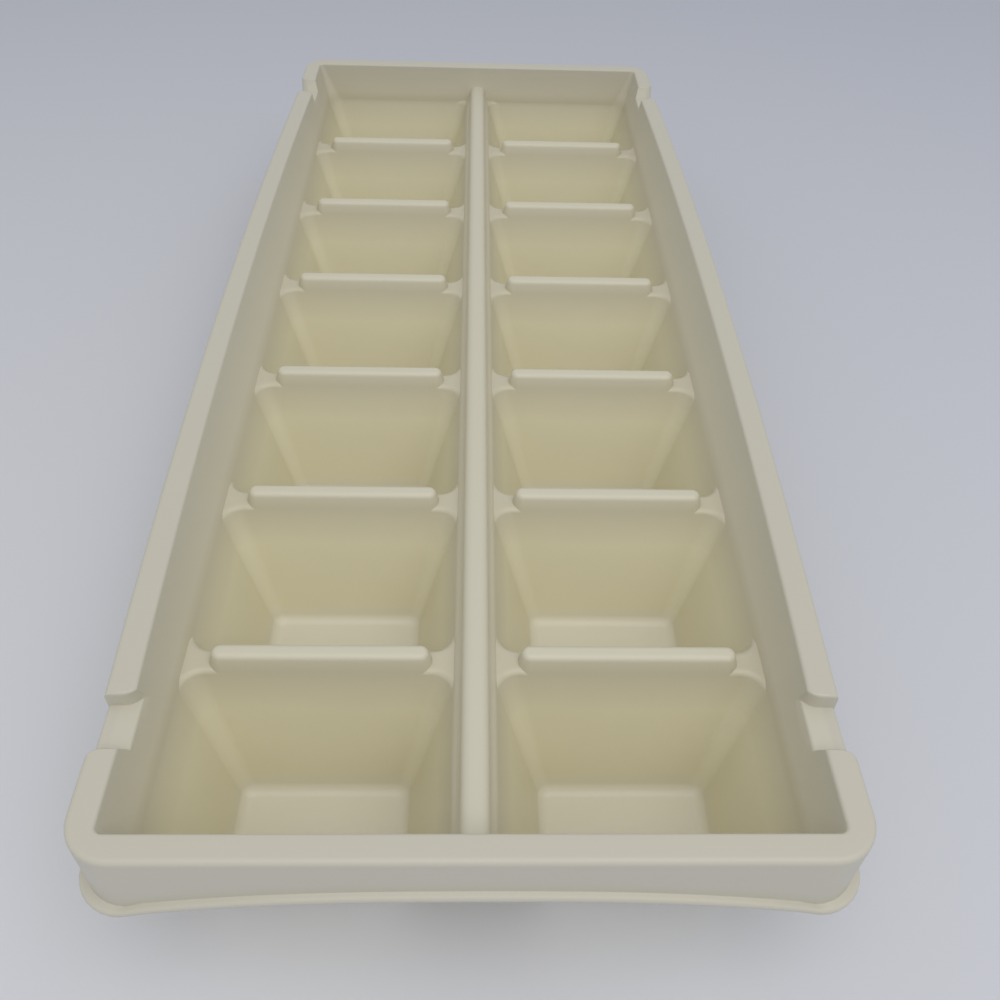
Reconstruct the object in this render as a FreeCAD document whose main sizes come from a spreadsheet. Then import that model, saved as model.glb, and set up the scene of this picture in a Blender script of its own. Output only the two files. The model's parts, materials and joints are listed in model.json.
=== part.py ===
import FreeCAD, Part
import math
import os
import Sketcher

# Ice cube tray: one thin moulding with two columns of tapered wells sunk in a trough.
# Each named sub-part is a region of that moulding, and neighbours meet face to face.
# Frame: origin on the ground under the tray's middle, +X across it, +Y along it, +Z up.

COLUMNS = {"left": -1, "right": 1}
ENDS = {"front": -1, "back": 1}
ROWS = 7

# A long side is turned this much further than its length needs, then trimmed square.
TURN_OVERRUN = 1.1

# A cup that keeps more than this share of its solid has not been hollowed.
HOLLOW_SHARE = 0.5

# How level a flat edge has to lie, in millimetres.
LEVEL_TOLERANCE = 1e-6

# Driving sizes in millimetres: name, value, what it is.
DRIVING_SIZES = [
    ("tray_height", 40.0, "ground to the top of the rim"),
    ("skin", 1.4, "thickness of the moulded wall"),
    ("row_pitch", 41.0, "from one row of wells to the next"),
    ("mouth_length", 36.4, "well mouth along the tray"),
    ("mouth_width", 48.4, "well mouth across the tray"),
    ("mouth_corner", 4.0, "plan radius at a corner of the mouth"),
    ("floor_length", 19.4, "well floor along the tray"),
    ("floor_width", 31.0, "well floor across the tray"),
    ("floor_corner", 3.0, "plan radius at a corner of the floor"),
    ("middle_gap", 3.8, "centre line to the nearest mouth edge"),
    ("saddle_drop", 11.8, "rim top down to the tops of the dividers"),
    ("bar_height", 3.1, "raised bar above the divider"),
    ("bar_width", 3.7, "raised bar along the tray"),
    ("bar_length", 39.6, "raised bar across the tray"),
    ("bar_start", 7.9, "centre line to the near end of a bar"),
    ("bar_round", 1.2, "radius along the top edge of a bar"),
    ("rib_width", 4.4, "centre rib across the tray"),
    ("rib_height", 5.0, "centre rib above the dividers"),
    ("rib_round", 1.6, "radius along the top edges of the rib"),
    ("wall_lean", 2.3, "how far a side wall leans out from the well mouths up to the rim"),
    ("side_bow", 2.4, "how far a long side bulges outwards at its middle"),
    ("corner_step", 0.3, "how much wider the corner sections stand"),
    ("rim_width", 5.0, "flat top of the rim along a side"),
    ("end_rim_width", 4.7, "flat top of the rim round a corner and along an end"),
    ("corner_run", 13.6, "corner section from the end wall to the notch"),
    ("notch_length", 9.9, "notch along the rim"),
    ("notch_drop", 3.3, "depth of the notch"),
    ("corner_round", 5.2, "outer plan radius of the tray's corners"),
    ("skirt_depth", 13.9, "rim top down to the lip, along the sides and corners"),
    ("grip_rise", 5.0, "how far the lip arches up at the middle of an end"),
    ("lip_reach", 1.2, "lip proud of the skirt"),
    ("lip_thickness", 1.7, "lip from top to bottom"),
]

doc = FreeCAD.newDocument("ice_cube_tray")
sheet = doc.addObject("Spreadsheet::Sheet", "sizes")
for row, (alias, value, meaning) in enumerate(DRIVING_SIZES, start=1):
    sheet.set(f"A{row}", alias)
    sheet.set(f"B{row}", str(value))
    sheet.setAlias(f"B{row}", alias)
    sheet.set(f"C{row}", meaning)
doc.recompute()


class Size:
    """A length with its present value and the formula that ties it to the sheet."""

    def __init__(self, value, formula):
        self.value = value
        self.formula = formula

    def __add__(self, other):
        other = as_size(other)
        return Size(self.value + other.value, f"({self.formula} + {other.formula})")

    def __sub__(self, other):
        other = as_size(other)
        return Size(self.value - other.value, f"({self.formula} - {other.formula})")

    def __mul__(self, other):
        other = as_size(other)
        return Size(self.value * other.value, f"({self.formula} * {other.formula})")

    def __truediv__(self, other):
        other = as_size(other)
        return Size(self.value / other.value, f"({self.formula} / {other.formula})")

    def __neg__(self):
        return Size(-self.value, f"(0 - {self.formula})")

    __radd__ = __add__
    __rmul__ = __mul__


def as_size(number):
    if isinstance(number, Size):
        return number
    return Size(float(number), repr(float(number)))


def driving(alias):
    return Size(float(sheet.get(alias)), f"sizes.{alias}")


skin = driving("skin")
rim_top = driving("tray_height")
row_pitch = driving("row_pitch")
saddle_top = rim_top - driving("saddle_drop")
saddle_under = saddle_top - skin

# Across the tray, from the centre line outwards.
middle_gap = driving("middle_gap")
mouth_outer = middle_gap + driving("mouth_width")
cell_reach = mouth_outer + skin
side_inner = mouth_outer + driving("wall_lean")
side_outer = side_inner + driving("rim_width")
corner_inner = side_inner + driving("corner_step")
corner_outer = corner_inner + driving("end_rim_width")

# Along the tray, from the middle to either end.
cells_end = row_pitch * ROWS / 2
end_inner = cells_end - (row_pitch - driving("mouth_length")) / 2
end_outer = end_inner + driving("end_rim_width")
corner_start = end_inner - driving("corner_run")
side_end = corner_start - driving("notch_length")

# The lip, under the skirt.
lip_top = rim_top - driving("skirt_depth")
lip_under = lip_top - driving("lip_thickness")
lip_reach = driving("lip_reach")
corner_round = driving("corner_round")

# A long side is an arc that bulges by side_bow over its half length.
side_bow = driving("side_bow")
bow_radius = (side_end * side_end + side_bow * side_bow) / (side_bow * 2)


def bind(thing, field, size):
    thing.setExpression(field, as_size(size).formula)


def origin_feature(body, role):
    for feature in body.Origin.OriginFeatures:
        if feature.Role == role:
            return feature
    raise ValueError(role)


def new_body(label):
    body = doc.addObject("PartDesign::Body", label)
    body.Label = label
    return body


def new_sketch(body, name, plane, offset):
    """A sketch on one of the body's own origin planes, moved along that plane's normal."""
    sketch = body.newObject("Sketcher::SketchObject", name)
    sketch.AttachmentSupport = [(origin_feature(body, plane), "")]
    sketch.MapMode = "FlatFace"
    bind(sketch, "AttachmentOffset.Base.z", offset)
    return sketch


def pin_point(sketch, edge, end, x, y):
    """Hold one end of an edge at two sizes measured from the sketch's origin."""
    for kind, size in (("DistanceX", x), ("DistanceY", y)):
        size = as_size(size)
        index = sketch.addConstraint(Sketcher.Constraint(kind, edge, end, size.value))
        bind(sketch, f"Constraints[{index}]", size)


def arc_between(start, end, radius, bulge):
    """The short arc from start to end, with its middle to the right of the chord for bulge 1."""
    chord = end - start
    middle = (start + end) * 0.5
    across = FreeCAD.Vector(chord.y, -chord.x, 0).normalize() * bulge
    sagitta = radius - math.sqrt(radius ** 2 - (chord.Length / 2) ** 2)
    return Part.Arc(start, middle + across * sagitta, end)


def draw_outline(sketch, corners):
    """A closed outline through corners (x, y), or (x, y, radius, bulge) where an arc leads on."""
    points = []
    for corner in corners:
        points.append(FreeCAD.Vector(as_size(corner[0]).value, as_size(corner[1]).value, 0))
    edges = []
    for index, corner in enumerate(corners):
        start = points[index]
        end = points[(index + 1) % len(points)]
        if len(corner) > 2:
            radius = as_size(corner[2])
            edge = sketch.addGeometry(arc_between(start, end, radius.value, corner[3]), False)
            turned = corner[3] < 0
            edges.append((edge, 2 if turned else 1, 1 if turned else 2))
            mark = sketch.addConstraint(Sketcher.Constraint("Radius", edge, radius.value))
            bind(sketch, f"Constraints[{mark}]", radius)
        else:
            edge = sketch.addGeometry(Part.LineSegment(start, end), False)
            edges.append((edge, 1, 2))
    for index, corner in enumerate(corners):
        edge, first, last = edges[index]
        onward, onward_first, onward_last = edges[(index + 1) % len(edges)]
        sketch.addConstraint(Sketcher.Constraint("Coincident", edge, last, onward, onward_first))
        pin_point(sketch, edge, first, corner[0], corner[1])


def rectangle(left, right, low, high):
    return [(left, low), (right, low), (right, high), (left, high)]


def rounded_rectangle(left, right, low, high, radius):
    """Anticlockwise from the lower left, with the corner arcs bulging outwards."""
    return [
        (left + radius, low),
        (right - radius, low, radius, 1),
        (right, low + radius),
        (right, high - radius, radius, 1),
        (right - radius, high),
        (left + radius, high, radius, 1),
        (left, high - radius),
        (left, low + radius, radius, 1),
    ]


def mirrored(corners, side, end=1):
    """The same outline on the other side of the tray, or at its other end."""
    flipped = []
    for corner in corners:
        place = (corner[0] * side, corner[1] * end)
        if len(corner) > 2:
            place += (corner[2], corner[3] * side * end)
        flipped.append(place)
    return flipped


def add_pad(body, name, plane, offset, corners, length):
    sketch = new_sketch(body, name + "_outline", plane, offset)
    draw_outline(sketch, corners)
    pad = body.newObject("PartDesign::Pad", name)
    pad.Profile = sketch
    bind(pad, "Length", length)
    doc.recompute()
    return pad


def add_loft(body, kind, name, upper, upper_level, lower, lower_level):
    top = new_sketch(body, name + "_top", "XY_Plane", upper_level)
    draw_outline(top, upper)
    bottom = new_sketch(body, name + "_bottom", "XY_Plane", lower_level)
    draw_outline(bottom, lower)
    loft = body.newObject(kind, name)
    loft.Profile = top
    loft.Sections = [bottom]
    loft.Ruled = True
    doc.recompute()
    return loft


def round_top_edges(body, base, name, level, radius, wanted):
    """Round the edges of base that lie flat at a level and that the wanted test accepts."""
    chosen = []
    for number, edge in enumerate(base.Shape.Edges, start=1):
        box = edge.BoundBox
        flat = max(abs(box.ZMin - level.value), abs(box.ZMax - level.value)) < LEVEL_TOLERANCE
        if flat and wanted(edge):
            chosen.append(f"Edge{number}")
    fillet = body.newObject("PartDesign::Fillet", name)
    fillet.Base = (base, chosen)
    bind(fillet, "Radius", radius)
    doc.recompute()
    return fillet


sub_parts = []


# Wells: a cell of the deck with a tapered cup hanging from it.
def make_well(column, side, row):
    body = new_body(f"well_{column}_{row}")
    half_cell = row_pitch / 2
    deck = mirrored(rectangle(as_size(0), cell_reach, -half_cell, half_cell), side)
    add_pad(body, f"{body.Name}_deck", "XY_Plane", saddle_under, deck, skin)

    half_mouth = driving("mouth_length") / 2
    half_floor = driving("floor_length") / 2
    floor_middle = middle_gap + driving("mouth_width") / 2
    half_floor_width = driving("floor_width") / 2
    mouth_corner = driving("mouth_corner")
    floor_corner = driving("floor_corner")
    mouth = rounded_rectangle(middle_gap, mouth_outer, -half_mouth, half_mouth, mouth_corner)
    floor = rounded_rectangle(
        floor_middle - half_floor_width,
        floor_middle + half_floor_width,
        -half_floor,
        half_floor,
        floor_corner,
    )
    cup_mouth = rounded_rectangle(
        middle_gap - skin,
        mouth_outer + skin,
        -half_mouth - skin,
        half_mouth + skin,
        mouth_corner + skin,
    )
    cup_floor = rounded_rectangle(
        floor_middle - half_floor_width - skin,
        floor_middle + half_floor_width + skin,
        -half_floor - skin,
        half_floor + skin,
        floor_corner + skin,
    )
    ground = as_size(0)
    add_loft(body, "PartDesign::AdditiveLoft", f"{body.Name}_cup",
             mirrored(cup_mouth, side), saddle_top, mirrored(cup_floor, side), ground)
    filled = body.Shape.Volume
    add_loft(body, "PartDesign::SubtractiveLoft", f"{body.Name}_hollow",
             mirrored(mouth, side), saddle_top, mirrored(floor, side), skin)
    if body.Shape.Volume > filled * HOLLOW_SHARE:
        raise RuntimeError(f"{body.Label} is not hollow")
    bind(body, "Placement.Base.y", row_pitch * (row - (ROWS + 1) / 2))
    sub_parts.append(body)


# Bars: the raised round-ended bar on the divider between two wells.
def make_bar(column, side, row):
    body = new_body(f"divider_bar_{column}_{row}")
    half_width = driving("bar_width") / 2
    start = driving("bar_start") + half_width
    finish = driving("bar_start") + driving("bar_length") - half_width
    outline = [
        (start, -half_width),
        (finish, -half_width, half_width, 1),
        (finish, half_width),
        (start, half_width, half_width, 1),
    ]
    height = driving("bar_height")
    base = add_half_round_pad(body, mirrored(outline, side), height)
    top = saddle_top + height
    round_top_edges(body, base, f"{body.Name}_round", top, driving("bar_round"), lambda edge: True)
    bind(body, "Placement.Base.y", row_pitch * (row - ROWS / 2))
    sub_parts.append(body)


def add_half_round_pad(body, outline, height):
    """Pad a round-ended outline, each end drawn as two quarter arcs."""
    start_low, finish_low, finish_high, start_high = outline
    radius = finish_low[2]
    bulge = finish_low[3]
    reach = radius * (1 if finish_low[0].value > start_low[0].value else -1)
    middle = as_size(0)
    quarters = [
        (start_low[0], start_low[1]),
        (finish_low[0], finish_low[1], radius, bulge),
        (finish_low[0] + reach, middle, radius, bulge),
        (finish_high[0], finish_high[1]),
        (start_high[0], start_high[1], radius, bulge),
        (start_high[0] - reach, middle, radius, bulge),
    ]
    return add_pad(body, f"{body.Name}_pad", "XY_Plane", saddle_top, quarters, height)


# Centre rib: the raised rib between the two columns, from end wall to end wall.
def make_centre_rib():
    body = new_body("centre_rib")
    half_width = driving("rib_width") / 2
    outline = rectangle(-half_width, half_width, -end_inner, end_inner)
    height = driving("rib_height")
    base = add_pad(body, "centre_rib_pad", "XY_Plane", saddle_top, outline, height)

    def runs_along(edge):
        return edge.BoundBox.YLength > edge.BoundBox.XLength

    top = saddle_top + height
    round_top_edges(body, base, "centre_rib_round", top, driving("rib_round"), runs_along)
    sub_parts.append(body)


def wall_profile(inner, top):
    """A side wall leaning out from the edge of the well mouths, as seen along the tray."""
    return [
        (mouth_outer, saddle_top),
        (cell_reach, saddle_top),
        (inner + skin, top - skin),
        (inner, top - skin),
    ]


def rim_profile(inner, outer, top):
    """Flat rim, its turned-down skirt and the lip under it, as seen along the tray."""
    return [
        (inner, top - skin),
        (outer - skin, top - skin),
        (outer - skin, lip_under),
        (outer + lip_reach, lip_under),
        (outer + lip_reach, lip_top),
        (outer, lip_top),
        (outer, top),
        (inner, top),
    ]


def channel_profile(inner, outer, top):
    """Side wall, rim, skirt and lip in one, as seen along the tray."""
    wall = wall_profile(inner, top)
    rim = rim_profile(inner, outer, top)
    return wall[:3] + rim[1:] + wall[3:]


# Side walls: straight along the well mouths at the foot, bowed with the rim at the top.
def make_side_wall(column, side):
    body = new_body(f"trough_wall_{column}")
    foot = rectangle(mouth_outer, cell_reach, -side_end, side_end)
    top = [
        (side_inner, -side_end),
        (side_inner + skin, -side_end, bow_radius, 1),
        (side_inner + skin, side_end),
        (side_inner, side_end, bow_radius, -1),
    ]
    add_loft(body, "PartDesign::AdditiveLoft", f"{body.Name}_loft",
             mirrored(top, side), rim_top - skin, mirrored(foot, side), saddle_top)
    sub_parts.append(body)


# Side rims: a profile turned about the far centre of the bow, trimmed square at its ends.
def make_side_rim(column, side):
    label = f"rim_{column}"
    body = new_body(f"{label}_bow")
    sketch = new_sketch(body, f"{label}_profile", "XZ_Plane", as_size(0))
    profile = rim_profile(bow_radius, bow_radius + driving("rim_width"), rim_top)
    draw_outline(sketch, mirrored(profile, side))
    turn = body.newObject("PartDesign::Revolution", f"{label}_turn")
    turn.Profile = sketch
    turn.ReferenceAxis = (origin_feature(body, "Z_Axis"), [""])
    turn.Midplane = True
    half_turn = f"asin({side_end.formula} / {bow_radius.formula})"
    turn.setExpression("Angle", f"2 * {TURN_OVERRUN} * {half_turn}")
    bind(body, "Placement.Base.x", (side_inner + side_bow - bow_radius) * side)
    doc.recompute()

    trim = doc.addObject("Part::Box", f"{label}_trim")
    reach = side_outer + side_bow + lip_reach + skin - mouth_outer
    bind(trim, "Length", reach)
    bind(trim, "Width", side_end * 2)
    bind(trim, "Height", rim_top)
    near_edge = mouth_outer if side > 0 else -(mouth_outer + reach)
    bind(trim, "Placement.Base.x", near_edge)
    bind(trim, "Placement.Base.y", -side_end)

    trimmed = doc.addObject("Part::Common", label)
    trimmed.Label = label
    trimmed.Base = body
    trimmed.Tool = trim
    doc.recompute()
    sub_parts.append(trimmed)


# Notches: the dropped stretch of rim between a long side and a corner.
def make_notch(end_name, end, column, side):
    body = new_body(f"notch_{end_name}_{column}")
    notch_top = rim_top - driving("notch_drop")
    # The leaning wall stops lower here, so it has come less far out.
    rise = (notch_top - skin - saddle_top) / (rim_top - skin - saddle_top)
    notch_inner = mouth_outer + driving("wall_lean") * rise
    profile = channel_profile(notch_inner, side_outer, notch_top)
    near_face = -side_end if end < 0 else corner_start
    add_pad(body, f"{body.Name}_pad", "XZ_Plane", as_size(0),
            mirrored(profile, side), driving("notch_length"))
    bind(body, "Placement.Base.y", near_face)
    sub_parts.append(body)


# Corners: side wall, rim, skirt and lip from the notch round to the tray's end.
def make_corner(end_name, end, column, side):
    body = new_body(f"corner_{end_name}_{column}")

    def layer(name, level, corners, height):
        add_pad(body, f"{body.Name}_{name}", "XY_Plane", level, mirrored(corners, side, end), height)

    # The plane's normal points to the front, so its offset is minus the place along the tray.
    wall_offset = -end_inner if end > 0 else corner_start
    add_pad(body, f"{body.Name}_wall", "XZ_Plane", wall_offset,
            mirrored(wall_profile(corner_inner, rim_top), side), end_inner - corner_start)

    arc_x = corner_outer - corner_round
    arc_y = end_outer - corner_round
    plate = [
        (corner_inner, corner_start),
        (corner_outer, corner_start),
        (corner_outer, arc_y, corner_round, 1),
        (arc_x, end_outer),
        (arc_x, end_inner),
        (corner_inner, end_inner),
    ]
    layer("plate", rim_top - skin, plate, skin)
    layer("skirt", lip_under, corner_band(arc_x, arc_y, as_size(0)), rim_top - skin - lip_under)
    layer("lip", lip_under, corner_band(arc_x, arc_y, lip_reach), driving("lip_thickness"))
    sub_parts.append(body)


def corner_band(arc_x, arc_y, reach):
    """A band as thick as the skin, or thicker by reach, round one corner of the tray."""
    inner_round = corner_round - skin
    outer_round = corner_round + reach
    return [
        (corner_outer - skin, corner_start),
        (corner_outer + reach, corner_start),
        (corner_outer + reach, arc_y, outer_round, 1),
        (arc_x, end_outer + reach),
        (arc_x, end_outer - skin, inner_round, -1),
        (corner_outer - skin, arc_y),
    ]


# Ends: straight rim with a skirt and a lip that arch up at the middle for the fingers.
def make_end_rim(end_name, end):
    body = new_body(f"rim_{end_name}")
    reach = corner_outer - corner_round
    plate = rectangle(-reach, reach, end_inner, end_outer)
    add_pad(body, f"{body.Name}_plate", "XY_Plane", rim_top - skin, mirrored(plate, 1, end), skin)

    rise = driving("grip_rise")
    arch_radius = (reach * reach + rise * rise) / (rise * 2)
    middle = as_size(0)
    skirt = [
        (reach, rim_top - skin),
        (-reach, rim_top - skin),
        (-reach, lip_under, arch_radius, -1),
        (middle, lip_under + rise, arch_radius, -1),
        (reach, lip_under),
    ]
    lip = [
        (reach, lip_under),
        (reach, lip_top, arch_radius, 1),
        (middle, lip_top + rise, arch_radius, 1),
        (-reach, lip_top),
        (-reach, lip_under, arch_radius, -1),
        (middle, lip_under + rise, arch_radius, -1),
    ]
    inner_face = end_outer - skin
    skirt_offset = inner_face if end < 0 else -end_outer
    add_pad(body, f"{body.Name}_skirt", "XZ_Plane", skirt_offset, skirt, skin)
    lip_offset = inner_face if end < 0 else -(end_outer + lip_reach)
    add_pad(body, f"{body.Name}_lip", "XZ_Plane", lip_offset, lip, skin + lip_reach)
    sub_parts.append(body)


def make_end_wall(end_name, end):
    wall = doc.addObject("Part::Box", f"trough_wall_{end_name}")
    wall.Label = wall.Name
    reach = corner_inner + skin
    bind(wall, "Length", reach * 2)
    bind(wall, "Width", skin)
    bind(wall, "Height", rim_top - skin - saddle_top)
    bind(wall, "Placement.Base.x", -reach)
    bind(wall, "Placement.Base.y", end_inner if end > 0 else -(end_inner + skin))
    bind(wall, "Placement.Base.z", saddle_top)
    sub_parts.append(wall)


for column, side in COLUMNS.items():
    for row in range(1, ROWS + 1):
        make_well(column, side, row)
    for row in range(1, ROWS):
        make_bar(column, side, row)
    make_side_wall(column, side)
    make_side_rim(column, side)
make_centre_rib()
for end_name, end in ENDS.items():
    make_end_wall(end_name, end)
    make_end_rim(end_name, end)
    for column, side in COLUMNS.items():
        make_notch(end_name, end, column, side)
        make_corner(end_name, end, column, side)

doc.recompute()
for thing in doc.Objects:
    if "Invalid" in thing.State or "Error" in thing.State:
        raise RuntimeError(f"{thing.Label} failed: {thing.State}")
for sub_part in sub_parts:
    shape = sub_part.Shape
    if shape.isNull() or not shape.isValid() or len(shape.Solids) != 1:
        raise RuntimeError(f"{sub_part.Label} has no valid single solid")

os.makedirs("parts", exist_ok=True)
for sub_part in sub_parts:
    sub_part.Shape.exportStep(f"parts/{sub_part.Label}.step")
    box = sub_part.Shape.BoundBox
    print(f"{sub_part.Label}: x {box.XMin:.2f} to {box.XMax:.2f}, y {box.YMin:.2f} to {box.YMax:.2f}, "
          f"z {box.ZMin:.2f} to {box.ZMax:.2f}, volume {sub_part.Shape.Volume:.1f}")
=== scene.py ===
import json
import math

import bmesh
import bpy
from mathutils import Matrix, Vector

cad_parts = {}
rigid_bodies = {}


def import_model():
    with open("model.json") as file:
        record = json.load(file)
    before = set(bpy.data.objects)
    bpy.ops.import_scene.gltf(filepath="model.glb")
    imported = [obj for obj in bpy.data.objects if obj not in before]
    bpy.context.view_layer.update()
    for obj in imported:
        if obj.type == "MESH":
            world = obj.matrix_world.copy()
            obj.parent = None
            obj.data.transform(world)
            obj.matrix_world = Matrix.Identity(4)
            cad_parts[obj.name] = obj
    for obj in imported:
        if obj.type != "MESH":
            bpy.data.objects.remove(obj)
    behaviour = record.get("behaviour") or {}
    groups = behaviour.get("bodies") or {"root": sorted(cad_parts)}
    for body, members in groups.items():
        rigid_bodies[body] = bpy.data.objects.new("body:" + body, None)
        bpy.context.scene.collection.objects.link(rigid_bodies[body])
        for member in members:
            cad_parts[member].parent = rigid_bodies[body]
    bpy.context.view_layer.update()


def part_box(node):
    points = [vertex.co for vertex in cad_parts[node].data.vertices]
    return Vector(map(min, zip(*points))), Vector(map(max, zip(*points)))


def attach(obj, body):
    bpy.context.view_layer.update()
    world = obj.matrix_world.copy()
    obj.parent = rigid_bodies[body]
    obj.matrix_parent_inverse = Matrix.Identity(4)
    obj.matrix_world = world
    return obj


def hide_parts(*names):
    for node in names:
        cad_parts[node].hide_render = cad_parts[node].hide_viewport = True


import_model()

# The tray is one moulding. Its rim and trough walls are one piece here, and each well, each
# divider bar and the middle rib is a piece of its own. Where two pieces meet, one of them stands
# out by the flush step, which is too little to see, so that no seam shows between them.
MM = 0.001
PLACE_TOLERANCE = 0.01 * MM
FLUSH_STEP = 0.03 * MM

COLUMNS = {"left": -1, "right": 1}
ENDS = {"front": -1, "back": 1}
ROWS = 7

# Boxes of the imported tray's nodes, in metres.
RIM_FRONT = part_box("rim_front")
RIM_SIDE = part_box("rim_right")
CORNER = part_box("corner_back_right")
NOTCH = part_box("notch_back_right")
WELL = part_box("well_right_1")
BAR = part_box("divider_bar_right_1")
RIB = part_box("centre_rib")

# The rim, and its skirt and lip.
SKIN = 1.4 * MM
RIM_TOP = RIM_FRONT[1].z
LIP_BOTTOM = RIM_FRONT[0].z
SADDLE = WELL[1].z
TROUGH_END = -RIM_FRONT[1].y
CORNER_START = CORNER[0].y
SIDE_END = NOTCH[0].y
NOTCH_FLOOR = NOTCH[1].z
SIDE_BOW = RIM_SIDE[1].x - CORNER[1].x
LIP_HALF_WIDTH = CORNER[1].x
LIP_REACH = 1.2 * MM
LIP_THICKNESS = 1.7 * MM
END_RIM_WIDTH = CORNER[1].y - LIP_REACH - TROUGH_END
TROUGH_HALF_WIDTH = LIP_HALF_WIDTH - LIP_REACH - END_RIM_WIDTH
SIDE_STEP = TROUGH_HALF_WIDTH - RIM_SIDE[0].x
OUTER_ROUND = 7.6 * MM
GRIP_RISE = 5.0 * MM

# The wells, measured across and along the tray.
PITCH = WELL[1].y - WELL[0].y
MOUTH = (48.4 * MM, 36.4 * MM)
MOUTH_ROUND = 4.0 * MM
FLOOR = (31.0 * MM, 19.4 * MM)
MOUTH_OUTER = CORNER[0].x
WELL_MIDDLE = Vector((MOUTH_OUTER - MOUTH[0] / 2, (WELL[0].y + WELL[1].y) / 2, 0.0))


def start_piece(name):
    """An empty mesh object at the origin, in edit mode, with nothing else selected."""
    if bpy.context.mode != "OBJECT":
        bpy.ops.object.mode_set(mode="OBJECT")
    bpy.ops.object.select_all(action="DESELECT")
    bpy.ops.mesh.primitive_plane_add(size=MM, location=(0, 0, 0))
    piece = bpy.context.object
    piece.name = name
    piece.data.name = name
    bpy.ops.object.mode_set(mode="EDIT")
    bpy.ops.mesh.delete(type="VERT")
    return piece


def edited():
    return bmesh.from_edit_mesh(bpy.context.edit_object.data)


def pick_points(wanted):
    """Select the points that the test accepts, with the edges and faces between them."""
    bpy.ops.mesh.select_mode(type="VERT")
    bpy.ops.mesh.select_all(action="DESELECT")
    mesh = edited()
    for point in mesh.verts:
        if wanted(point.co):
            point.select = True
    mesh.select_flush(True)
    bmesh.update_edit_mesh(bpy.context.edit_object.data)


def pick_edges(wanted):
    """Select the edges that the test accepts."""
    bpy.ops.mesh.select_mode(type="EDGE")
    bpy.ops.mesh.select_all(action="DESELECT")
    mesh = edited()
    for edge in mesh.edges:
        if wanted(edge):
            edge.select = True
    bmesh.update_edit_mesh(bpy.context.edit_object.data)


def pick_faces(wanted):
    """Select the faces that the test accepts."""
    bpy.ops.mesh.select_mode(type="FACE")
    bpy.ops.mesh.select_all(action="DESELECT")
    mesh = edited()
    for face in mesh.faces:
        if wanted(face):
            face.select = True
    bmesh.update_edit_mesh(bpy.context.edit_object.data)


def level_edge(edge, level):
    return all(abs(point.co.z - level) < PLACE_TOLERANCE for point in edge.verts)


def shift(x=0.0, y=0.0, z=0.0):
    bpy.ops.transform.translate(value=(x, y, z))


def resize_about(centre, x, y, z=1.0):
    bpy.ops.transform.resize(value=(x, y, z), center_override=tuple(centre))


def add_plate(centre, width, length, level, corner_round, segments=8):
    """A flat round-cornered plate, in edit mode, left selected."""
    middle = (centre.x, centre.y, level)
    bpy.ops.mesh.select_mode(type="VERT")
    bpy.ops.mesh.primitive_plane_add(size=1.0, location=middle)
    resize_about(middle, width, length)
    if corner_round > 0:
        bpy.ops.mesh.bevel(offset=corner_round, segments=segments, affect="VERTICES",
                           clamp_overlap=False)
    bpy.ops.mesh.select_linked()


def tidy_shell():
    """Close the seams of the piece in edit mode and turn all its faces outwards."""
    bpy.ops.mesh.select_mode(type="VERT")
    bpy.ops.mesh.select_all(action="SELECT")
    bpy.ops.mesh.remove_doubles(threshold=PLACE_TOLERANCE)
    bpy.ops.mesh.normals_make_consistent(inside=False)
    bpy.ops.object.mode_set(mode="OBJECT")


def apply_modifier(kind, **settings):
    piece = bpy.context.object
    bpy.ops.object.modifier_add(type=kind)
    modifier = piece.modifiers[-1]
    for setting, value in settings.items():
        setattr(modifier, setting, value)
    bpy.ops.object.modifier_apply(modifier=modifier.name)


SMOOTH_BELOW = math.radians(42)
BROAD_FACE_WEIGHT = 60


def smooth_moulding():
    """Moulded skin: broad faces stay flat, and the rounded edges between them are smooth."""
    bpy.ops.object.shade_smooth_by_angle(angle=SMOOTH_BELOW)
    apply_modifier("WEIGHTED_NORMAL", keep_sharp=True, weight=BROAD_FACE_WEIGHT)


# Rim and trough walls

class Outline:
    """A round-cornered rectangle about the tray's middle, at one level."""

    def __init__(self, half_width, half_length, corner_round, level):
        self.sizes = (half_width, half_length, corner_round, level)

    def towards(self, other, distance):
        """The outline this far along the straight way to another one."""
        way = [b - a for a, b in zip(self.sizes, other.sizes)]
        share = distance / math.hypot(way[0], way[3])
        return Outline(*[a + share * step for a, step in zip(self.sizes, way)])

    def between(self, other, share):
        return Outline(*[a + share * (b - a) for a, b in zip(self.sizes, other.sizes)])

    def holds(self, place):
        """Whether a point lies on this outline."""
        half_width, half_length, corner_round, level = self.sizes
        past_x = abs(place.x) - (half_width - corner_round)
        past_y = abs(place.y) - (half_length - corner_round)
        outside = math.hypot(max(past_x, 0), max(past_y, 0))
        distance = outside + min(max(past_x, past_y), 0) - corner_round
        return abs(place.z - level) < PLACE_TOLERANCE and abs(distance) < PLACE_TOLERANCE

    def draw(self):
        half_width, half_length, corner_round, level = self.sizes
        add_plate(Vector((0, 0, 0)), 2 * half_width, 2 * half_length, level, corner_round)
        bpy.ops.mesh.delete(type="ONLY_FACE")


INNER_ROUND = 1.2 * MM


def rim_outline(reach, level):
    """The outline this far outside the trough's upper edge."""
    share = min(reach / END_RIM_WIDTH, 1)
    corner_round = INNER_ROUND + share * (OUTER_ROUND - INNER_ROUND)
    return Outline(TROUGH_HALF_WIDTH + reach, TROUGH_END + reach, corner_round, level)


def rounded(before, corner, after, radius, steps):
    """Outlines along the rounding of one corner of the rim's section."""
    first = corner.towards(before, radius)
    last = corner.towards(after, radius)
    made = []
    for step in range(steps + 1):
        share = step / steps
        made.append(first.between(corner, share).between(corner.between(last, share), share))
    return made


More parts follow.
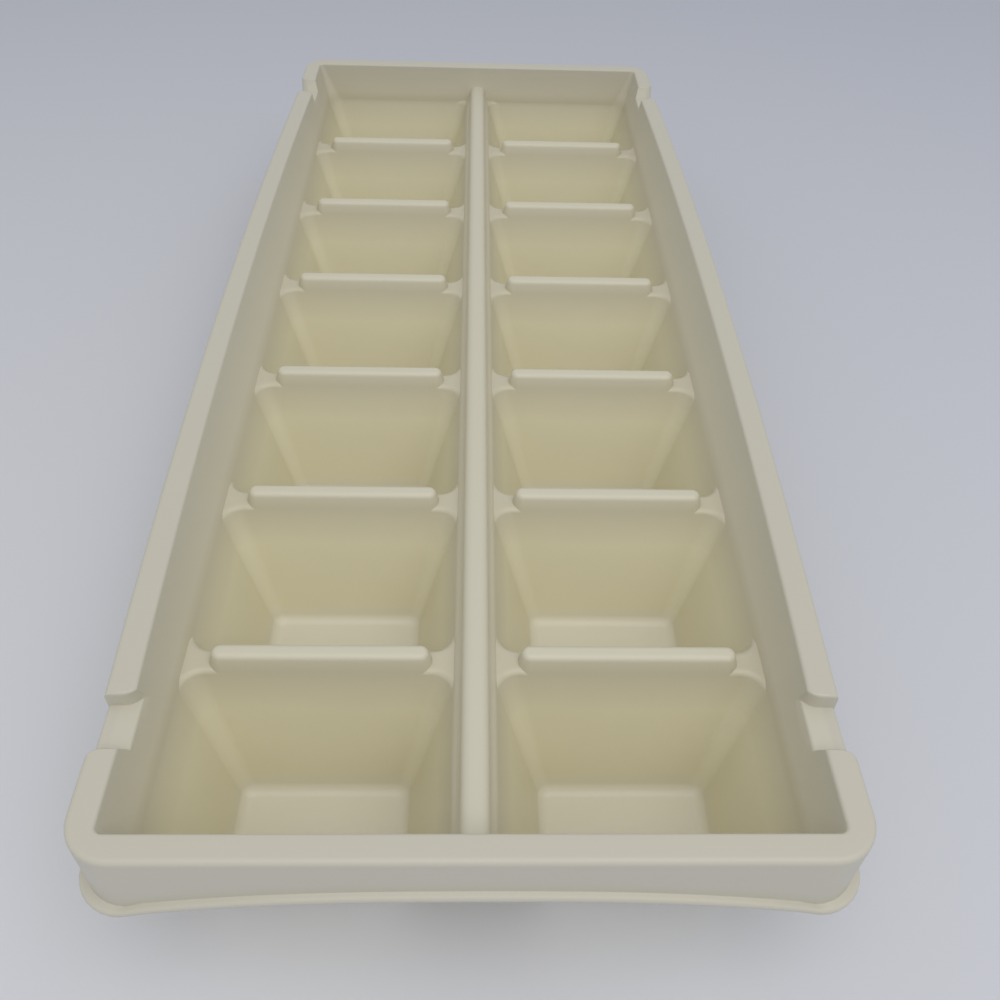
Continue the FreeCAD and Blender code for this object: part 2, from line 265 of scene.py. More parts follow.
FOOT_OVERLAP = 1.2 * MM
FOOT_SINK = 0.42 * MM
FOOT_SLANT = 0.7 * MM
MOULD_DRAFT = 0.15 * MM
INNER_EDGE_ROUND = 0.6 * MM
INNER_EDGE_STEPS = 3
OUTER_EDGE_ROUND = 1.1 * MM
OUTER_EDGE_STEPS = 4
LIP_FILLET = 0.4 * MM
LIP_FILLET_STEPS = 2
LIP_NOSE_ROUND = LIP_REACH - LIP_FILLET
LIP_NOSE_STEPS = 4


def rim_section():
    """All round the section: rim top, skirt, lip, the hollow under the rim and the trough wall."""
    lip_top = LIP_BOTTOM + LIP_THICKNESS
    under_rim = RIM_TOP - SKIN
    inner_top = rim_outline(0, RIM_TOP)
    outer_top = rim_outline(END_RIM_WIDTH, RIM_TOP)
    skirt_foot = rim_outline(END_RIM_WIDTH, lip_top)
    lip_upper = rim_outline(END_RIM_WIDTH + LIP_REACH, lip_top)
    lip_lower = rim_outline(END_RIM_WIDTH + LIP_REACH, LIP_BOTTOM)
    skirt_inside = rim_outline(END_RIM_WIDTH - SKIN, LIP_BOTTOM + MOULD_DRAFT)
    under_outer = rim_outline(END_RIM_WIDTH - SKIN, under_rim)
    under_inner = rim_outline(SKIN, under_rim - MOULD_DRAFT)
    wall_back = Outline(MOUTH_OUTER + SKIN, TROUGH_END + SKIN, MOUTH_ROUND + SKIN,
                        SADDLE - FOOT_OVERLAP - FOOT_SLANT)
    foot_low = Outline(MOUTH_OUTER - FOOT_SINK, TROUGH_END - FOOT_SINK, MOUTH_ROUND,
                       SADDLE - FOOT_OVERLAP)
    foot = Outline(MOUTH_OUTER - FLUSH_STEP, TROUGH_END - FLUSH_STEP, MOUTH_ROUND, SADDLE)
    section = rounded(foot, inner_top, outer_top, INNER_EDGE_ROUND, INNER_EDGE_STEPS)
    section += rounded(inner_top, outer_top, skirt_foot, OUTER_EDGE_ROUND, OUTER_EDGE_STEPS)
    section += rounded(outer_top, skirt_foot, lip_upper, LIP_FILLET, LIP_FILLET_STEPS)
    # The fillet ends on the outline where the lip's nose starts, so that one isn't drawn twice.
    section += rounded(skirt_foot, lip_upper, lip_lower, LIP_NOSE_ROUND, LIP_NOSE_STEPS)[1:]
    section += rounded(lip_upper, lip_lower, skirt_inside, LIP_NOSE_ROUND, LIP_NOSE_STEPS)
    section += [skirt_inside, under_outer, under_inner, wall_back, foot_low, foot]
    return section


def bridge_outlines(section):
    """Skin the outlines, each to the next and the last to the first."""
    for outline in section:
        outline.draw()
    for number, outline in enumerate(section):
        onward = section[(number + 1) % len(section)]
        pick_points(lambda place: outline.holds(place) or onward.holds(place))
        bpy.ops.mesh.bridge_edge_loops()


def slice_across(place, normal):
    """Add edges where a plane crosses the piece."""
    bpy.ops.mesh.select_all(action="SELECT")
    bpy.ops.mesh.bisect(plane_co=place, plane_no=normal)


SIDE_CUTS = 24
NOTCH_MARGIN = 0.8 * MM
RELIEF_MARGIN = (4.0 * MM, 4.6 * MM)
PICK_MARGIN = 0.5 * MM


def bow_at(place):
    """How far a long side stands out at this place along the tray."""
    radius = (SIDE_END ** 2 + SIDE_BOW ** 2) / (2 * SIDE_BOW)
    return math.sqrt(radius ** 2 - place ** 2) - (radius - SIDE_BOW)


def bow_long_sides():
    """Bulge the long sides outwards, and narrow the trough a little between the notches."""
    last_cut = SIDE_END + NOTCH_MARGIN
    cuts = [last_cut * (2 * number / SIDE_CUTS - 1) for number in range(SIDE_CUTS + 1)]
    corner_cut = CORNER_START - NOTCH_MARGIN
    for along in (-corner_cut, *cuts, corner_cut):
        slice_across((0, along, 0), (0, 1, 0))
    upper_wall = MOUTH_OUTER + SKIN + PICK_MARGIN
    rim_middle = TROUGH_HALF_WIDTH + SKIN + PICK_MARGIN
    for along in cuts:
        for side in COLUMNS.values():
            pick_points(lambda place: abs(place.y - along) < PLACE_TOLERANCE
                        and place.x * side >= rim_middle)
            shift(x=side * bow_at(along))
            pick_points(lambda place: abs(place.y - along) < PLACE_TOLERANCE
                        and upper_wall < place.x * side < rim_middle)
            shift(x=side * (bow_at(along) - SIDE_STEP))


def relieve_notches():
    """Lower the underside of the rim round each notch, so that the notch keeps its thickness."""
    near, far = RELIEF_MARGIN
    for end in ENDS.values():
        for along in (SIDE_END - far, SIDE_END - near, CORNER_START + near, CORNER_START + far):
            slice_across((0, end * along, 0), (0, 1, 0))
    under_rim = RIM_TOP - SKIN

    def lowered(place):
        along = abs(place.y)
        inside = SIDE_END - near - PLACE_TOLERANCE < along < CORNER_START + near + PLACE_TOLERANCE
        return inside and abs(place.z - under_rim) < MOULD_DRAFT + PLACE_TOLERANCE

    pick_points(lowered)
    shift(z=NOTCH_FLOOR - RIM_TOP)


ARCH_CUTS = 22
ARCH_SHARPNESS = 2.6
ARCH_START = 5.2 * MM


def arch_finger_lips():
    """Lift the lip and the skirt's lower edge in an arch at both ends."""
    reach = TROUGH_HALF_WIDTH + END_RIM_WIDTH - ARCH_START
    skirt_line = TROUGH_END + SKIN + 2 * PICK_MARGIN
    lip_line = LIP_BOTTOM + LIP_THICKNESS + 2 * PICK_MARGIN
    cuts = [reach * (2 * number / ARCH_CUTS - 1) for number in range(1, ARCH_CUTS)]
    for across in cuts:
        slice_across((across, 0, 0), (1, 0, 0))
    for across in cuts:
        pick_points(lambda place: abs(place.x - across) < PLACE_TOLERANCE
                    and abs(place.y) > skirt_line and place.z < lip_line)
        shift(z=GRIP_RISE * (1 - abs(across / reach) ** ARCH_SHARPNESS))


SIDE_END_ROUND = 3.3 * MM
SIDE_END_INSET = 0.9 * MM
CORNER_END_ROUND = 2.5 * MM
CORNER_END_SLOPE = 1.85 * MM
NOTCH_END_SEGMENTS = 6
ROUND_SPARE = 0.1 * MM
WALL_EDGE_SHARE = 0.8
NOTCH_EDGE_ROUND = 0.6 * MM
EDGE_TURNS = [math.radians(turn) for turn in (0, 25, 50, 75)]
EDGE_RUN_OUT = 1.0 * MM
RUN_OUT_SLOPE = 3.0
CUT_CLEARANCE = 6.0 * MM
CUT_ABOVE = 1.5 * MM


def notch_edge_drop(past):
    """How far the notch's floor has rounded down, this far past its flat."""
    reach = NOTCH_EDGE_ROUND * math.sin(EDGE_TURNS[-1])
    curved = min(max(past, 0), reach)
    run_out = min(max(past - reach, 0), EDGE_RUN_OUT)
    drop = NOTCH_EDGE_ROUND - math.sqrt(NOTCH_EDGE_ROUND ** 2 - curved ** 2)
    return drop + RUN_OUT_SLOPE * run_out


def round_notch_floor(skirt_x):
    """Bend the cutter's underside down at both edges of the notch's floor."""
    wall_share = (NOTCH_FLOOR - SADDLE) / (RIM_TOP - SADDLE)
    wall_x = MOUTH_OUTER + wall_share * (TROUGH_HALF_WIDTH - MOUTH_OUTER)
    flat_start = wall_x + WALL_EDGE_SHARE * NOTCH_EDGE_ROUND
    flat_end = skirt_x - NOTCH_EDGE_ROUND
    ways = [NOTCH_EDGE_ROUND * math.sin(turn) for turn in EDGE_TURNS]
    ways.append(ways[-1] + EDGE_RUN_OUT)
    for way in ways:
        slice_across((flat_start - way, 0, 0), (1, 0, 0))
        slice_across((flat_end + way, 0, 0), (1, 0, 0))
    floor_points = [point.co for point in edited().verts
                    if abs(point.co.z - NOTCH_FLOOR) < PLACE_TOLERANCE]
    for across in sorted({point.x for point in floor_points}):
        drop = notch_edge_drop(max(flat_start - across, across - flat_end))
        if drop > 0:
            pick_points(lambda place: place.x == across
                        and abs(place.z - NOTCH_FLOOR) < PLACE_TOLERANCE)
            shift(z=-drop)


def draw_notch_plan(low_x, high_x, foot_end, skirt_x):
    """The notch seen from above, its floor's ends turned where the rim's corners are rounded."""
    middle = Vector(((low_x + high_x) / 2, (SIDE_END + foot_end) / 2, 0))
    add_plate(middle, high_x - low_x, foot_end - SIDE_END, NOTCH_FLOOR, 0)
    turns = ((RIM_SIDE[0].x - SIDE_END_INSET, SIDE_END, SIDE_END_ROUND, -1),
             (skirt_x, foot_end, CORNER_END_ROUND, 1))
    for across, along, radius, way in turns:
        slice_across((across, 0, 0), (1, 0, 0))
    for across, along, radius, way in turns:
        pick_edges(lambda edge: all(
            abs(point.co.y - along) < PLACE_TOLERANCE
            and (point.co.x - across) * way > -PLACE_TOLERANCE for point in edge.verts))
        beyond = way * (radius + ROUND_SPARE)
        bpy.ops.mesh.extrude_edges_move(TRANSFORM_OT_translate={"value": (0, beyond, 0)})
    bpy.ops.mesh.select_all(action="SELECT")
    bpy.ops.mesh.normals_make_consistent(inside=False)
    bpy.ops.mesh.dissolve_faces()
    for across, along, radius, way in turns:
        corner = Vector((across, along, NOTCH_FLOOR))
        pick_points(lambda place: (place - corner).length < PLACE_TOLERANCE)
        bpy.ops.mesh.bevel(offset=radius, segments=NOTCH_END_SEGMENTS, affect="VERTICES",
                           clamp_overlap=False)


def raise_cutter_top(rise):
    bpy.ops.mesh.extrude_region_move(TRANSFORM_OT_translate={"value": (0, 0, rise)})


def make_notch_cutter():
    """Four blocks that take the notches out of the rim and leave rounded edges round them."""
    cutter = start_piece("notch_cutter")
    skirt_x = TROUGH_HALF_WIDTH + END_RIM_WIDTH
    foot_end = CORNER_START - CORNER_END_SLOPE
    draw_notch_plan(MOUTH_OUTER - CUT_CLEARANCE, LIP_HALF_WIDTH + CUT_CLEARANCE, foot_end, skirt_x)
    depth = RIM_TOP - NOTCH_FLOOR
    flare_start = RIM_TOP - NOTCH_EDGE_ROUND
    length = CORNER_START - SIDE_END
    middle = Vector((skirt_x, (CORNER_START + SIDE_END) / 2, RIM_TOP))
    bpy.ops.mesh.select_all(action="SELECT")
    raise_cutter_top(depth - NOTCH_EDGE_ROUND)
    pick_points(lambda place: abs(place.z - flare_start) < PLACE_TOLERANCE and place.y > middle.y)
    shift(y=CORNER_END_SLOPE * (1 - NOTCH_EDGE_ROUND / depth))
    pick_faces(lambda face: all(level_edge(edge, flare_start) for edge in face.edges))
    for before, turn in zip(EDGE_TURNS, EDGE_TURNS[1:]):
        raise_cutter_top(NOTCH_EDGE_ROUND * (math.sin(turn) - math.sin(before)))
        reached = length + 2 * NOTCH_EDGE_ROUND * (1 - math.cos(before))
        wanted = length + 2 * NOTCH_EDGE_ROUND * (1 - math.cos(turn))
        resize_about(middle, 1, wanted / reached)
    raise_cutter_top(CUT_ABOVE)
    round_notch_floor(skirt_x)
    for mirror in ((-1, 1), (1, -1)):
        bpy.ops.mesh.select_all(action="SELECT")
        bpy.ops.mesh.duplicate()
        resize_about((0, 0, 0), *mirror)
    tidy_shell()
    return cutter


def cut_notches(ring):
    cutter = make_notch_cutter()
    bpy.ops.object.select_all(action="DESELECT")
    ring.select_set(True)
    bpy.context.view_layer.objects.active = ring
    apply_modifier("BOOLEAN", operation="DIFFERENCE", solver="EXACT", object=cutter)
    bpy.data.objects.remove(cutter)
    bpy.ops.object.mode_set(mode="EDIT")
    tidy_shell()


def make_rim_and_trough():
    ring = start_piece("rim_and_trough")
    bridge_outlines(rim_section())
    bow_long_sides()
    relieve_notches()
    arch_finger_lips()
    tidy_shell()
    cut_notches(ring)
    smooth_moulding()
    nodes = [f"{kind}_{place}" for kind in ("trough_wall", "rim") for place in (*COLUMNS, *ENDS)]
    for end_name in ENDS:
        for column in COLUMNS:
            nodes += [f"corner_{end_name}_{column}", f"notch_{end_name}_{column}"]
    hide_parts(*nodes)
    return ring


# Ice wells

MOUTH_BAND = 1.0 * MM
MOUTH_EDGE_ROUND = 0.9 * MM
MOUTH_EDGE_SEGMENTS = 4
FLOOR_EDGE_ROUND = 1.8 * MM
FLOOR_EDGE_SEGMENTS = 5
FOOT_EDGE_ROUND = 1.0 * MM
FOOT_EDGE_SEGMENTS = 3
SHARP_EDGE = math.radians(45)
PLAIN_FACE_CORNERS = 8


def cup_outline(offset, level, floor_level):
    """Width and length of the tapered cup at a level, this far outside its inner faces."""
    share = (level - floor_level) / (SADDLE - floor_level)
    return [floor + share * (mouth - floor) + 2 * offset for floor, mouth in zip(FLOOR, MOUTH)]


def round_edges(radius, segments):
    bpy.ops.mesh.bevel(offset=radius, segments=segments, affect="EDGES", clamp_overlap=False)


def make_first_well():
    """The well nearest the front on the right: a cell of the deck with its tapered cup."""
    well = start_piece("ice_well_right_1")
    band = 2 * MOUTH_BAND
    add_plate(WELL_MIDDLE, MOUTH[0] + band, MOUTH[1] + band, SADDLE, MOUTH_ROUND + MOUTH_BAND)
    bpy.ops.mesh.inset(thickness=MOUTH_BAND)
    bpy.ops.mesh.extrude_region_move(TRANSFORM_OT_translate={"value": (0, 0, SKIN - SADDLE)})
    resize_about((WELL_MIDDLE.x, WELL_MIDDLE.y, SKIN), FLOOR[0] / MOUTH[0], FLOOR[1] / MOUTH[1])
    pick_edges(lambda edge: level_edge(edge, SKIN))
    round_edges(FLOOR_EDGE_ROUND, FLOOR_EDGE_SEGMENTS)

    deck_middle = (WELL[0] + WELL[1]) / 2
    deck_size = WELL[1] - WELL[0]
    add_plate(deck_middle, deck_size.x, deck_size.y, SADDLE, 0)
    bpy.ops.mesh.delete(type="ONLY_FACE")
    pick_edges(lambda edge: level_edge(edge, SADDLE) and len(edge.link_faces) < 2)
    bpy.ops.mesh.fill()

    def deck_border(edge, level):
        return level_edge(edge, level) and edge.is_boundary

    pick_edges(lambda edge: deck_border(edge, SADDLE))
    bpy.ops.mesh.extrude_edges_move(TRANSFORM_OT_translate={"value": (0, 0, -SKIN)})

    under_deck = SADDLE - SKIN
    cup_top = cup_outline(SKIN, under_deck, 0)
    cup_foot = cup_outline(SKIN, 0, 0)
    add_plate(WELL_MIDDLE, *cup_top, under_deck, MOUTH_ROUND + SKIN)
    bpy.ops.mesh.extrude_region_move(TRANSFORM_OT_translate={"value": (0, 0, -under_deck)})
    resize_about(WELL_MIDDLE, cup_foot[0] / cup_top[0], cup_foot[1] / cup_top[1])
    pick_edges(lambda edge: level_edge(edge, 0))
    round_edges(FOOT_EDGE_ROUND, FOOT_EDGE_SEGMENTS)
    pick_faces(lambda face: len(face.verts) > PLAIN_FACE_CORNERS
               and all(abs(point.co.z - under_deck) < PLACE_TOLERANCE for point in face.verts))
    bpy.ops.mesh.delete(type="ONLY_FACE")
    pick_edges(lambda edge: deck_border(edge, under_deck))
    bpy.ops.mesh.fill()

    def mouth_edge(edge):
        if not level_edge(edge, SADDLE) or not edge.is_manifold:
            return False
        return edge.calc_face_angle() > SHARP_EDGE and all(
            abs(point.co.x - WELL_MIDDLE.x) < MOUTH[0] / 2 + PLACE_TOLERANCE
            and abs(point.co.y - WELL_MIDDLE.y) < MOUTH[1] / 2 + PLACE_TOLERANCE
            for point in edge.verts)

    pick_edges(mouth_edge)
    round_edges(MOUTH_EDGE_ROUND, MOUTH_EDGE_SEGMENTS)
    tidy_shell()
    smooth_moulding()
    return well


def copy_piece(piece, name, side, along):
    """A copy with its own mesh, moved along the tray and, for the left side, mirrored."""
    bpy.ops.object.select_all(action="DESELECT")
    piece.select_set(True)
    bpy.context.view_layer.objects.active = piece
    bpy.ops.object.duplicate()
    copy = bpy.context.object
    copy.name = name
    copy.data.name = name
    bpy.ops.object.mode_set(mode="EDIT")
    bpy.ops.mesh.select_all(action="SELECT")
    shift(y=along)
    if side < 0:
        resize_about((0, 0, 0), -1, 1)
        bpy.ops.mesh.normals_make_consistent(inside=False)
    bpy.ops.object.mode_set(mode="OBJECT")
    if side < 0:
        smooth_moulding()
    return copy


def lay_rows(first, piece_word, node_word, rows):
    """Repeat a piece down both columns, each copy standing for its own part of the tray."""
    pieces = []
    for column, side in COLUMNS.items():
        for row in range(1, rows + 1):
            name = f"{piece_word}_{column}_{row}"
            if side > 0 and row == 1:
                piece = first
            else:
                piece = copy_piece(first, name, side, PITCH * (row - 1))
            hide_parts(f"{node_word}_{column}_{row}")
            pieces.append(piece)
    return pieces


# Divider bars and middle rib

BAR_FOOT_DEPTH = 1.2 * MM
BAR_DOME_DEPTH = 1.35 * MM
BAR_CROWN_HALF = 1.6 * MM
BAR_END_TAPER = 1.9 * MM
BAR_END_BLUNTNESS = 0.9
BAR_END_ROUND_SHARE = 0.98
BAR_END_SEGMENTS = 6
RIB_END_OVERLAP = 1.0 * MM
BEND_STEPS = 6

# The rib's section, as half widths and heights over the saddle, from its foot up.
RIB_FOOT = (4.22 * MM, -1.2 * MM)
RIB_MOUTH_EDGE = (4.06 * MM, -0.7 * MM)
RIB_MOUTH_CORNER = (3.74 * MM, 0.3 * MM)
RIB_FLANK = (3.3 * MM, 0.85 * MM)
RIB_HOLLOW = (2.8 * MM, 1.45 * MM)
RIB_SIDE = (2.5 * MM, 2.6 * MM)
RIB_SHOULDER = (2.4 * MM, 3.3 * MM)
RIB_CROWN_HALF = 2.2 * MM


def bend(start, corner, end):
    """Half widths and levels from one point towards another, round a corner between them."""
    made = []
    for step in range(BEND_STEPS):
        share = step / BEND_STEPS
        rest = 1 - share
        made.append(tuple(rest * rest * a + 2 * rest * share * b + share * share * c
                          for a, b, c in zip(start, corner, end)))
    return made


def dome(half, level, crown_half, top):
    """Half widths and levels of a flattened dome, from its shoulder up."""
    return bend((half, level), (crown_half, top), (0, top))


def stack_plates(middle, sizes, segments=1):
    """A closed solid through round-cornered plates, one above the other, in edit mode."""
    for width, length, corner_round, level in sizes:
        add_plate(middle, width, length, level, corner_round, segments)
        bpy.ops.mesh.delete(type="ONLY_FACE")
    levels = [size[-1] for size in sizes]
    for lower, upper in zip(levels, levels[1:]):
        pick_points(lambda place: abs(place.z - lower) < PLACE_TOLERANCE
                    or abs(place.z - upper) < PLACE_TOLERANCE)
        bpy.ops.mesh.bridge_edge_loops()
    for level in (levels[0], levels[-1]):
        pick_points(lambda place: abs(place.z - level) < PLACE_TOLERANCE)
        bpy.ops.mesh.edge_face_add()


def make_first_bar():
    """The first bar on the right, whose flanks run on up from the walls of the wells."""
    bar = start_piece("raised_bar_right_1")
    low, high = BAR
    lean = (MOUTH[1] - FLOOR[1]) / 2 / (SADDLE - SKIN)

    def half_width(level):
        return (PITCH - MOUTH[1]) / 2 + FLUSH_STEP - lean * (level - SADDLE)

    foot = SADDLE - BAR_FOOT_DEPTH
    shoulder = high.z - BAR_DOME_DEPTH
    profile = [(half_width(foot), foot)]
    profile += dome(half_width(shoulder), shoulder, BAR_CROWN_HALF, high.z)
    straight = (high.x - low.x) / 2 - BAR_END_TAPER
    sizes = [(2 * (straight + BAR_END_BLUNTNESS * half), 2 * half, BAR_END_ROUND_SHARE * half, level)
             for half, level in profile]
    stack_plates((low + high) / 2, sizes, BAR_END_SEGMENTS)
    tidy_shell()
    smooth_moulding()
    return bar


def make_middle_rib():
    """The rib between the columns, whose flanks run on down into the walls of the wells."""
    rib = start_piece("middle_rib")
    low, high = RIB
    section = [RIB_FOOT]
    section += bend(RIB_MOUTH_EDGE, RIB_MOUTH_CORNER, RIB_FLANK)
    section += bend(RIB_FLANK, RIB_HOLLOW, RIB_SIDE)
    section.append(RIB_SIDE)
    section += dome(*RIB_SHOULDER, RIB_CROWN_HALF, high.z - SADDLE)
    length = high.y - low.y + RIB_END_OVERLAP
    sizes = [(2 * half, length, 0, SADDLE + rise) for half, rise in section]
    stack_plates((low + high) / 2, sizes)
    tidy_shell()
    smooth_moulding()
    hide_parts("centre_rib")
    return rib


# Finishes

class Level:
    """A value that changes over a surface, so that a pattern is written as a sum."""

    def __init__(self, finish, socket):
        self.finish = finish
        self.socket = socket

    def __add__(self, other):
        return self.finish.maths("ADD", self, other)

    def __sub__(self, other):
        return self.finish.maths("SUBTRACT", self, other)

    def __mul__(self, other):
        return self.finish.maths("MULTIPLY", self, other)

    def __rsub__(self, other):
        return self.finish.maths("SUBTRACT", other, self)

    def __abs__(self):
        return self.finish.maths("ABSOLUTE", self, 0.0)

    __radd__ = __add__
    __rmul__ = __mul__


class Finish:
    """A material under construction."""

    def __init__(self, name):
        self.material = bpy.data.materials.new(name)
        self.material.use_nodes = True
        self.tree = self.material.node_tree
        self.tree.nodes.clear()

    def node(self, kind, settings=None, sockets=None, output=0):
        """Any node: settings first, then its sockets' values or links."""
        made = self.tree.nodes.new(kind)
        for name, value in (settings or {}).items():
            if name == "stops":
                for number, (place, colour) in enumerate(value):
                    if number < 2:
                        stop = made.color_ramp.elements[number]
                        stop.position = place
                    else:
                        stop = made.color_ramp.elements.new(place)
                    stop.color = (*colour, 1.0)
            else:
                setattr(made, name, value)
        for name, value in (sockets or {}).items():
            socket = made.inputs[name]
            if isinstance(value, Level):
                self.tree.links.new(value.socket, socket)
            else:
                socket.default_value = value
        return Level(self, made.outputs[output]) if made.outputs else made

    def maths(self, operation, first, second):
        return self.node("ShaderNodeMath", {"operation": operation}, {0: first, 1: second})

    def places(self):
        """Object coordinates, in metres."""
        return self.node("ShaderNodeTexCoord", output="Object")

    def axes(self, places):
        """The three parts of a place."""
        first = self.node("ShaderNodeSeparateXYZ", sockets={"Vector": places})
        return [Level(self, socket) for socket in first.socket.node.outputs]

    def clamped(self, level):
        """A share kept between 0 and 1."""
        return self.node("ShaderNodeMath", {"operation": "ADD", "use_clamp": True}, {0: level, 1: 0.0})

    def noise(self, places, scale, detail=2.0, roughness=0.5):
        sockets = {"Vector": places, "Scale": scale, "Detail": detail, "Roughness": roughness}
        return self.node("ShaderNodeTexNoise", sockets=sockets)

    def blend(self, kind, share, first, second):
        """Two colours mixed."""
        settings = {"data_type": "RGBA", "blend_type": kind}
        return self.node("ShaderNodeMix", settings, {0: share, 6: first, 7: second}, output=2)

    def finish(self, surface):
        self.node("ShaderNodeOutputMaterial", sockets={"Surface": surface})
        return self.material


def from_screen(red, green, blue):
    """A colour as a screen shows it, from 0 to 255, in the linear values that shaders use."""
    made = []
    for value in (red, green, blue):
        value /= 255
        made.append(value / 12.92 if value <= 0.04045 else ((value + 0.055) / 1.055) ** 2.4)
    return tuple(made)


IVORY_AT_RIM = from_screen(192, 188, 175)
IVORY_ON_BARS_PAINTED_LIGHT = from_screen(205, 200, 181)
IVORY_AT_SADDLE_PAINTED_LIGHT = from_screen(196, 190, 168)
IVORY_DEEP_PAINTED_LIGHT = from_screen(217, 211, 182)
IVORY_AT_FLOOR_PAINTED_LIGHT = from_screen(217, 212, 195)
IVORY_CLOUDS = from_screen(196, 189, 166)

# Painted bounce light at shares of the tray's height, lighter and yellower deep in the wells, and
# where the rim's own tint begins, with none painted.
PAINTED_BOUNCE_LIGHT_BY_HEIGHT = [(0.04, IVORY_AT_FLOOR_PAINTED_LIGHT), (0.14, IVORY_DEEP_PAINTED_LIGHT), (0.5, IVORY_DEEP_PAINTED_LIGHT),
               (0.7, IVORY_AT_SADDLE_PAINTED_LIGHT), (0.77, IVORY_ON_BARS_PAINTED_LIGHT), (1.0, IVORY_AT_RIM)]
RIM_STARTS_ACROSS = 57.0 * MM
RIM_STARTS_ALONG = TROUGH_END + 0.3 * MM
RIM_BLEND = 0.8 * MM

# Patterns on the plastic, by their repeats to a metre and their strength.
CLOUD_SCALE = 38.0
CLOUD_SHARE = 0.2
SMUDGE_SCALE = 130.0
SMUDGE_ROUGHNESS = 0.16
CLEAN_ROUGHNESS = 0.34
GRAIN_SCALE = 2600.0
GRAIN_SHARE = 0.35
WAVE_SCALE = 90.0
RELIEF_STRENGTH = 0.25
RELIEF_HEIGHT = 0.2 * MM


def ivory_plastic():
    """Satin ivory plastic with painted bounce light, painted lighter and yellower the deeper it lies
    in the tray.
    """
    ivory = Finish("ivory_plastic")
    places = ivory.places()
    across, along, height = ivory.axes(places)
    # Painted bounce light: the colour by height, lighter and yellower deep in the wells.
    painted_light_colour = ivory.node("ShaderNodeValToRGB", {"stops": PAINTED_BOUNCE_LIGHT_BY_HEIGHT},
                              {"Fac": height * (1 / RIM_TOP)})
    beyond = ivory.maths("MAXIMUM", abs(across) - RIM_STARTS_ACROSS, abs(along) - RIM_STARTS_ALONG)
    outside = ivory.clamped(beyond * (1 / RIM_BLEND))
    colour_with_painted_light = ivory.blend("MIX", outside, painted_light_colour, (*IVORY_AT_RIM, 1.0))
    clouds = ivory.noise(places, CLOUD_SCALE, detail=3.0)
    colour = ivory.blend("MIX", clouds * CLOUD_SHARE, colour_with_painted_light, (*IVORY_CLOUDS, 1.0))
    smudges = ivory.noise(places, SMUDGE_SCALE, detail=4.0, roughness=0.6)
    grain = ivory.noise(places, GRAIN_SCALE, detail=2.0, roughness=0.55)
    waves = ivory.noise(places, WAVE_SCALE, detail=1.0)
    relief = grain * GRAIN_SHARE + waves
    normal = ivory.node("ShaderNodeBump", sockets={
        "Strength": RELIEF_STRENGTH,
        "Distance": RELIEF_HEIGHT,
        "Height": relief,
    })
    surface = ivory.node("ShaderNodeBsdfPrincipled", sockets={
        "Base Color": colour,
        "Roughness": smudges * SMUDGE_ROUGHNESS + CLEAN_ROUGHNESS,
        "Normal": normal,
        "IOR": 1.5,
    })
    return ivory.finish(surface)


# Floor colours near and far: painted light near the tray and painted shade further off, where the
# lamp's light falls off.
FLOOR_NEAR_PAINTED_LIGHT = from_screen(214, 217, 227)
FLOOR_FAR_PAINTED_SHADE = from_screen(184, 190, 206)
FLOOR_RIGHT = from_screen(176, 185, 208)
SHADOW_WARMTH = from_screen(178, 170, 154)
FLOOR_NEAR_PLACE = -0.16
FLOOR_FAR_PLACE = 0.34
RIGHT_TINT_PER_METRE = 2.0
RIGHT_TINT_AT_MIDDLE = 0.15
RIGHT_TINT_SHARE = 0.5
FLOOR_ROUGHNESS = 0.9
SHADOW_LIFT = 0.2


def matt_floor():
    """Pale matt floor with painted shade that darkens it further off, bluer to the right, and a
    painted warm glow in the view that lifts its shadows.
    """
    pale = Finish("pale_floor")
    places = pale.places()
    across, along, _ = pale.axes(places)
    distance = (along - FLOOR_NEAR_PLACE) * (1 / (FLOOR_FAR_PLACE - FLOOR_NEAR_PLACE))
    painted_light_colour = pale.node("ShaderNodeValToRGB", {"stops": [(0.0, FLOOR_NEAR_PAINTED_LIGHT), (1.0, FLOOR_FAR_PAINTED_SHADE)]},
                             {"Fac": distance})
    sideways = pale.clamped(across * RIGHT_TINT_PER_METRE + RIGHT_TINT_AT_MIDDLE)
    colour = pale.blend("MIX", sideways * RIGHT_TINT_SHARE, painted_light_colour, (*FLOOR_RIGHT, 1.0))
    surface = pale.node("ShaderNodeBsdfPrincipled",
                        sockets={"Base Color": colour, "Roughness": FLOOR_ROUGHNESS})
    # Painted light: a warm glow seen in the view that lifts and warms the floor's shadows, as light
    # bounced off the tray would.
    glow = pale.node("ShaderNodeEmission", sockets={"Color": (*SHADOW_WARMTH, 1.0), "Strength": 1.0})
    rays = ("Is Camera Ray", "Is Glossy Ray", "Is Transmission Ray")
    camera, glossy, through = [pale.node("ShaderNodeLightPath", output=ray) for ray in rays]
    seen = pale.maths("MAXIMUM", pale.maths("MAXIMUM", camera, glossy), through)
    mixed = pale.node("ShaderNodeMixShader", sockets={0: seen * SHADOW_LIFT, 1: surface, 2: glow})
    return pale.finish(mixed)


# The piece list

def dress(piece, material):
    piece.data.materials.clear()
    piece.data.materials.append(material)
    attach(piece, "root")


plastic = ivory_plastic()
pieces = [make_rim_and_trough(), make_middle_rib()]
pieces += lay_rows(make_first_well(), "ice_well", "well", ROWS)
pieces += lay_rows(make_first_bar(), "raised_bar", "divider_bar", ROWS - 1)
for piece in pieces:
    dress(piece, plastic)


# Studio

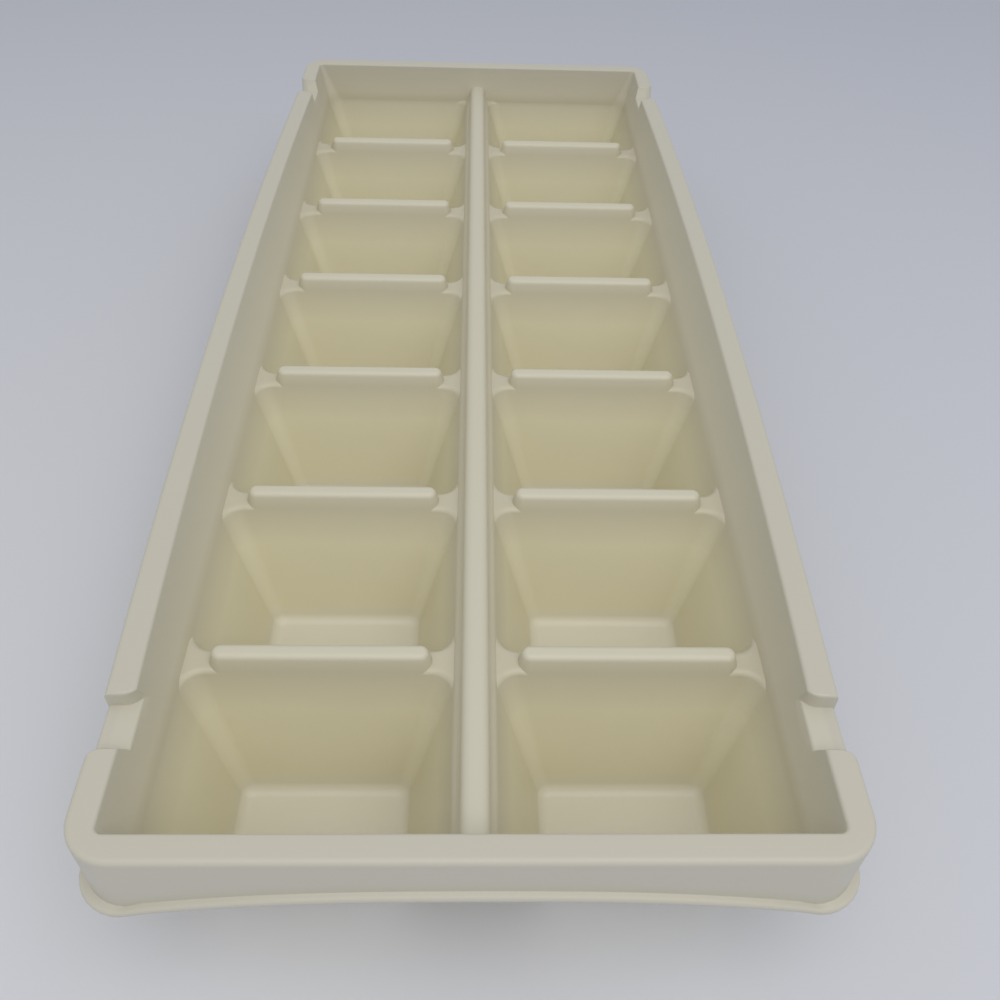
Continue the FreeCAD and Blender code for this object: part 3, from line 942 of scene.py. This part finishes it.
FLOOR_SIZE = 6.0
ROOM_COLOUR = (0.96, 0.98, 1.0, 1.0)
ROOM_STRENGTH = 0.62
TRAY_MIDDLE = (0, 0, 0)
LAMP_PLACE = (0.12, -0.42, 0.8)
LAMP_SIZE = (0.9, 0.8)
LAMP_POWER = 3.6
LAMP_COLOUR = (1.0, 0.98, 0.95)


def lay_floor():
    bpy.ops.object.select_all(action="DESELECT")
    bpy.ops.mesh.primitive_plane_add(size=FLOOR_SIZE, location=(0, 0, 0))
    floor = bpy.context.object
    floor.name = "studio_floor"
    floor.data.materials.append(matt_floor())


def hang_lamp(name, place, aim, size, power, colour):
    lamp_data = bpy.data.lights.new(name, "AREA")
    lamp_data.shape = "RECTANGLE"
    lamp_data.size, lamp_data.size_y = size
    lamp_data.energy = power
    lamp_data.color = colour
    lamp = bpy.data.objects.new(name, lamp_data)
    lamp.location = place
    lamp.rotation_euler = (Vector(aim) - Vector(place)).to_track_quat("-Z", "Y").to_euler()
    bpy.context.collection.objects.link(lamp)


def light_studio():
    world = bpy.data.worlds.new("soft_room")
    bpy.context.scene.world = world
    world.use_nodes = True
    background = world.node_tree.nodes["Background"]
    background.inputs["Color"].default_value = ROOM_COLOUR
    background.inputs["Strength"].default_value = ROOM_STRENGTH
    hang_lamp("ceiling_light", LAMP_PLACE, TRAY_MIDDLE, LAMP_SIZE, LAMP_POWER, LAMP_COLOUR)


# The camera stands low over the front end and looks down along the tray.
CAMERA_PLACE = Vector((-1.18, -207.82, 173.91)) * MM
CAMERA_TURN = (45.2045, -1.6120, -0.8551)
CAMERA_LENS = 35.28
CAMERA_SENSOR = 36.0
CAMERA_NEAREST = 10.0 * MM


def place_camera():
    camera_data = bpy.data.cameras.new("photo_view")
    camera_data.lens = CAMERA_LENS
    camera_data.sensor_width = CAMERA_SENSOR
    camera_data.clip_start = CAMERA_NEAREST
    camera = bpy.data.objects.new("photo_view", camera_data)
    camera.location = CAMERA_PLACE
    camera.rotation_euler = [math.radians(turn) for turn in CAMERA_TURN]
    bpy.context.collection.objects.link(camera)
    bpy.context.scene.camera = camera


lay_floor()
light_studio()
place_camera()
bpy.context.scene.view_settings.view_transform = "Standard"
